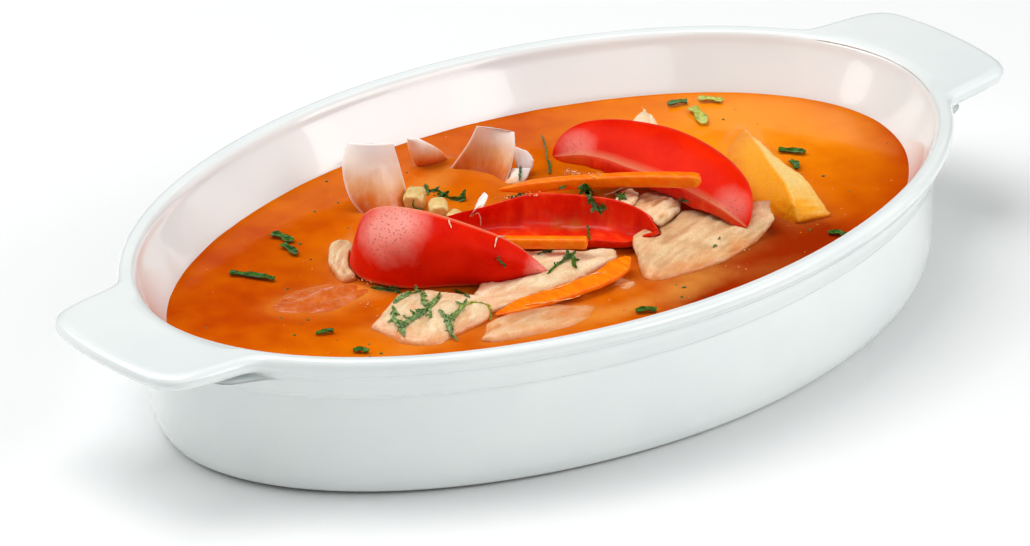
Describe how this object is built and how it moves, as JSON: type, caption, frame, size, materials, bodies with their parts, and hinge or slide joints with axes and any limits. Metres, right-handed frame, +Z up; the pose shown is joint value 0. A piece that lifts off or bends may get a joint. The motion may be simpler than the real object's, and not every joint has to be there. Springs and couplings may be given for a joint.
{
  "type": "bowl of fish stew",
  "caption": "Oval eared porcelain dish of orange fish stew, with tomato wedges, carrot, fish, onion, potato and chopped herbs standing out of the broth.",
  "frame": {"origin": "middle of the dish's flat base, on the surface it stands on", "axes": "+X along the dish towards one handle, +Y across it towards the side away from the viewer, +Z up"},
  "size_m": [0.284, 0.1662, 0.0476],
  "materials": {
    "porcelain": "glossy white glazed porcelain",
    "broth": "glossy oily orange liquid",
    "tomato": "wet cooked tomato with its skin",
    "carrot": "wet cooked carrot",
    "fish": "moist flaked white fish",
    "onion": "translucent cooked onion",
    "potato": "moist cooked potato",
    "celery": "moist cooked celery",
    "herb": "wet chopped green herb",
    "scallion": "wet pale green scallion"
  },
  "bodies": {
    "root": {"carrot_long": "carrot", "tomato_front": "tomato", "tomato_back": "tomato", "carrot_short": "carrot", "tomato_middle": "tomato", "potato_wedge": "potato", "fish_flake": "fish", "fish_shred": "fish", "fish_slice": "fish", "carrot_slice": "carrot", "fish_strip": "fish", "fish_chunk": "fish", "fish_sunk": "fish", "fish_back": "fish", "fish_end": "fish", "fish_crumb": "fish", "onion_left": "onion", "onion_lobe": "onion", "onion_back": "onion", "onion_sunk": "onion", "onion_bit_1": "onion", "onion_bit_2": "onion", "onion_bit_3": "onion", "celery_dice_1": "celery", "celery_dice_2": "celery", "celery_dice_3": "celery", "scallion_1": "herb", "scallion_2": "herb", "scallion_3": "herb", "scallion_4": "herb", "scallion_5": "herb", "scallion_6": "herb", "scallion_7": "scallion", "scallion_8": "scallion", "scallion_9": "herb", "scallion_10": "herb", "scallion_11": "herb", "scallion_12": "herb", "herb_shred_1": "herb", "herb_shred_2": "herb", "herb_shred_3": "herb", "herb_shred_4": "herb", "herb_shred_5": "herb", "herb_shred_6": "herb", "herb_shred_7": "herb", "herb_shred_8": "herb", "herb_shred_9": "herb", "broth": "broth", "dish": "porcelain"}
  },
  "joints": []
}
